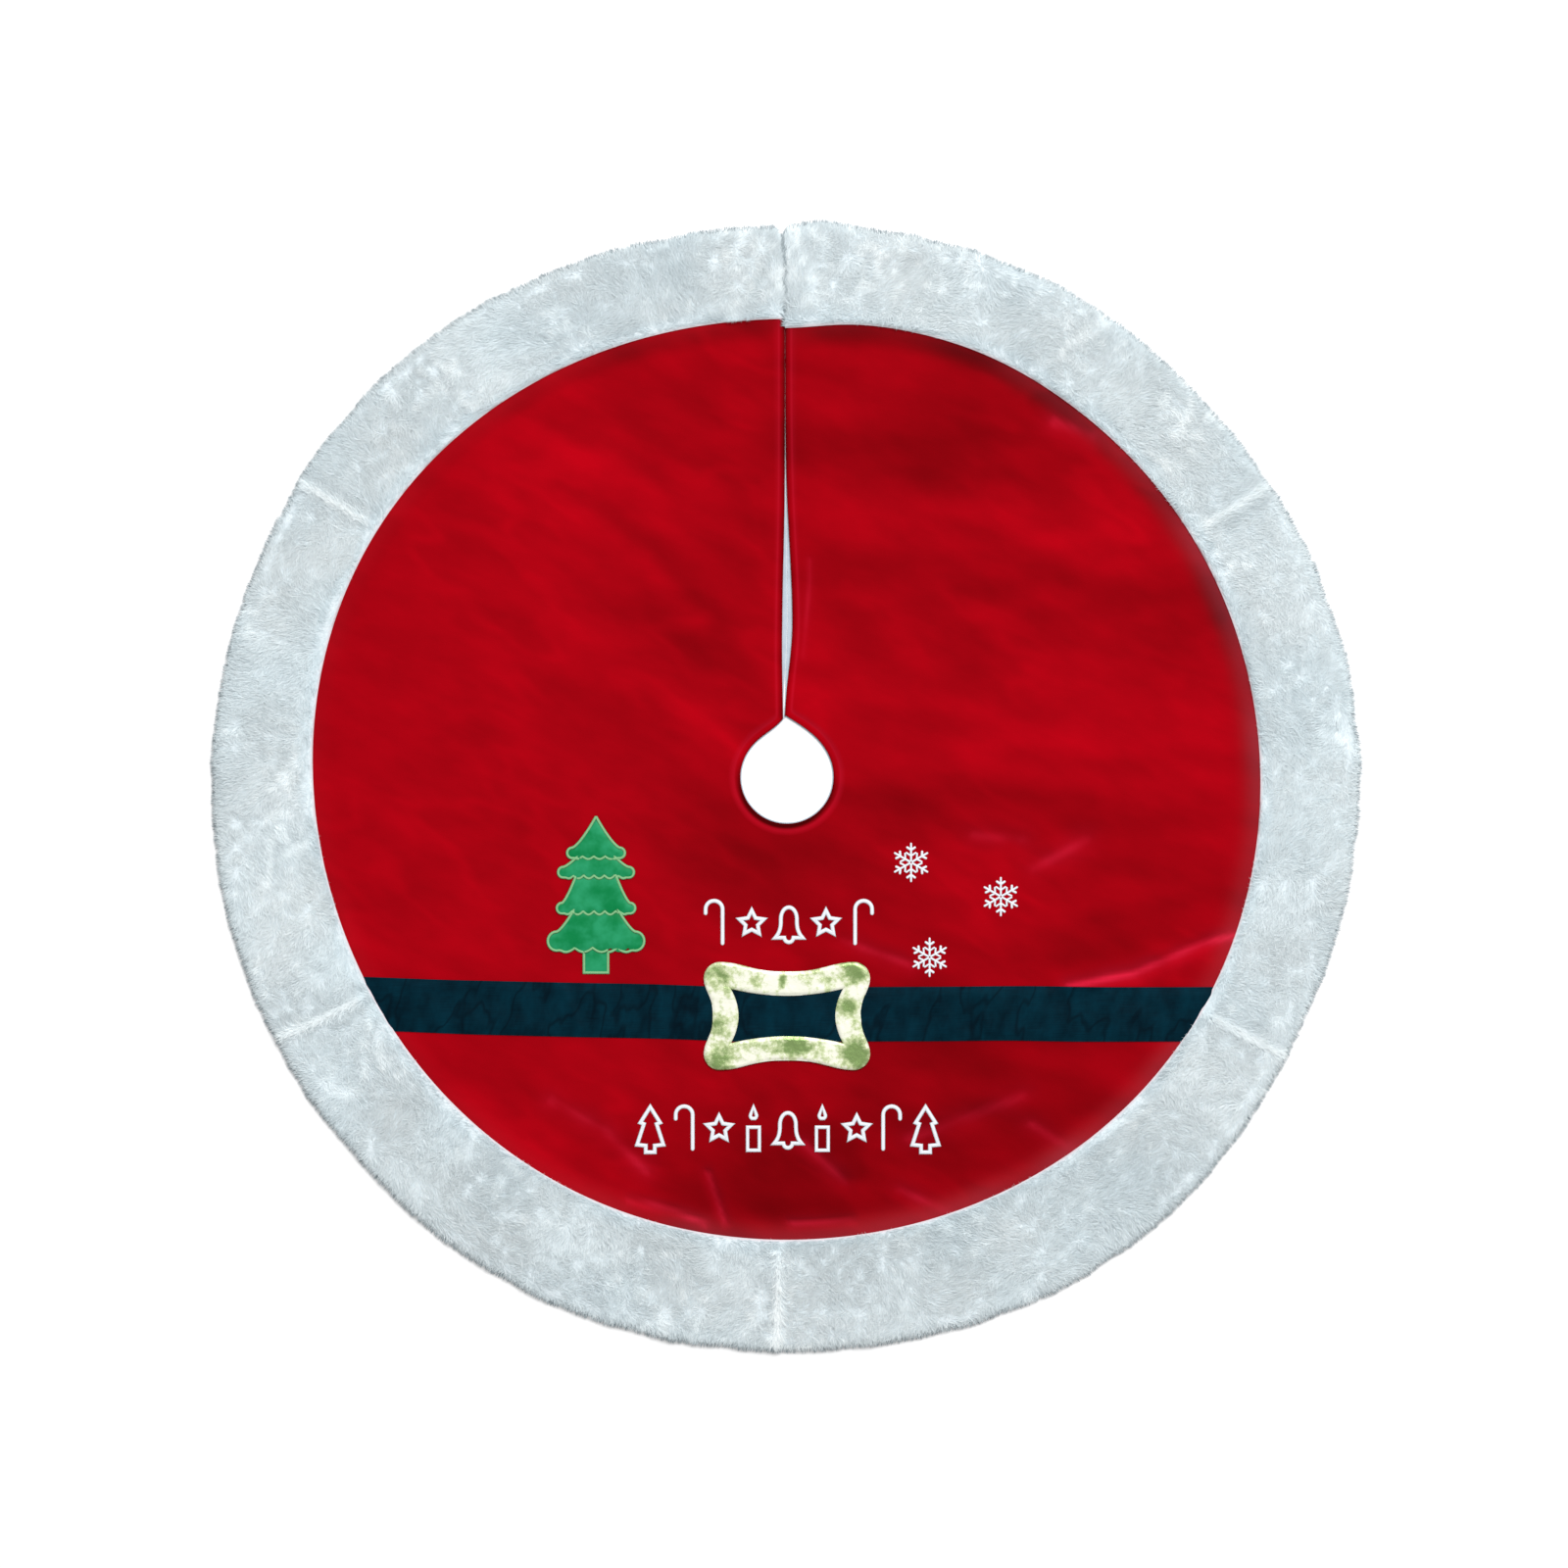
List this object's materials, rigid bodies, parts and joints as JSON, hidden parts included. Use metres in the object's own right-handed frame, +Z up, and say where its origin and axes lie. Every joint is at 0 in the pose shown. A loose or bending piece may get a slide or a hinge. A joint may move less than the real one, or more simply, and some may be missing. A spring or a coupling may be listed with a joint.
{
  "type": "tree skirt",
  "caption": "Round velour tree skirt with a plush border, a trunk hole and a slit at the back, lying flat; the sectors beside the slit fold over like flaps.",
  "frame": {"origin": "centre of the rim on the floor, under the middle of the trunk hole", "axes": "+Z up from the floor; +Y to the back, along the slit; -Y to the front, where the decoration stands upright for a viewer; +X to that viewer's right"},
  "size_m": [1.212, 1.2119, 0.01],
  "materials": {
    "lining": "thin matte off-white backing cloth",
    "velour": "short-pile red velour with a soft sheen",
    "plush": "white faux fur, pile about 8 mm",
    "belt_satin": "dark navy satin ribbon",
    "gold_foil": "pale gold metallised film, slightly crinkled",
    "green_satin": "green satin",
    "green_thread": "pale green satin stitch",
    "white_thread": "white satin stitch"
  },
  "bodies": {
    "skirt": {"lining_front": "lining", "velour_front": "velour", "trunk_hole_hem_front": "velour", "plush_panel_left_side": "plush", "plush_panel_left_front": "plush", "plush_panel_right_front": "plush", "plush_panel_right_side": "plush", "belt_ribbon": "belt_satin", "buckle": "gold_foil", "tree_satin": "green_satin", "tree_edge_stitch": "green_thread", "tree_tier_stitch_1": "green_thread", "tree_tier_stitch_2": "green_thread", "tree_tier_stitch_3": "green_thread", "tree_trunk_stitch": "green_thread", "snowflake_1": "white_thread", "snowflake_2": "white_thread", "snowflake_3": "white_thread", "upper_ornament_1_cane": "white_thread", "upper_ornament_2_star": "white_thread", "upper_ornament_3_bell": "white_thread", "upper_ornament_4_star": "white_thread", "upper_ornament_5_cane": "white_thread", "lower_ornament_1_fir": "white_thread", "lower_ornament_2_cane": "white_thread", "lower_ornament_3_star": "white_thread", "lower_ornament_4_candle": "white_thread", "lower_ornament_5_bell": "white_thread", "lower_ornament_6_candle": "white_thread", "lower_ornament_7_star": "white_thread", "lower_ornament_8_cane": "white_thread", "lower_ornament_9_fir": "white_thread"},
    "left_flap": {"lining_left": "lining", "velour_left": "velour", "trunk_hole_hem_left": "velour", "slit_hem_left": "velour", "plush_panel_left_back": "plush"},
    "right_flap": {"lining_right": "lining", "velour_right": "velour", "trunk_hole_hem_right": "velour", "slit_hem_right": "velour", "plush_panel_right_back": "plush"}
  },
  "joints": [
    {"name": "left_flap_fold", "type": "hinge", "parent": "skirt", "child": "left_flap", "pos_m": [0, 0, 0.011], "axis": [0.848, -0.5299, 0], "range_deg": [0, 175]},
    {"name": "right_flap_fold", "type": "hinge", "parent": "skirt", "child": "right_flap", "pos_m": [0, 0, 0.011], "axis": [0.848, 0.5299, 0], "range_deg": [0, 175]}
  ]
}
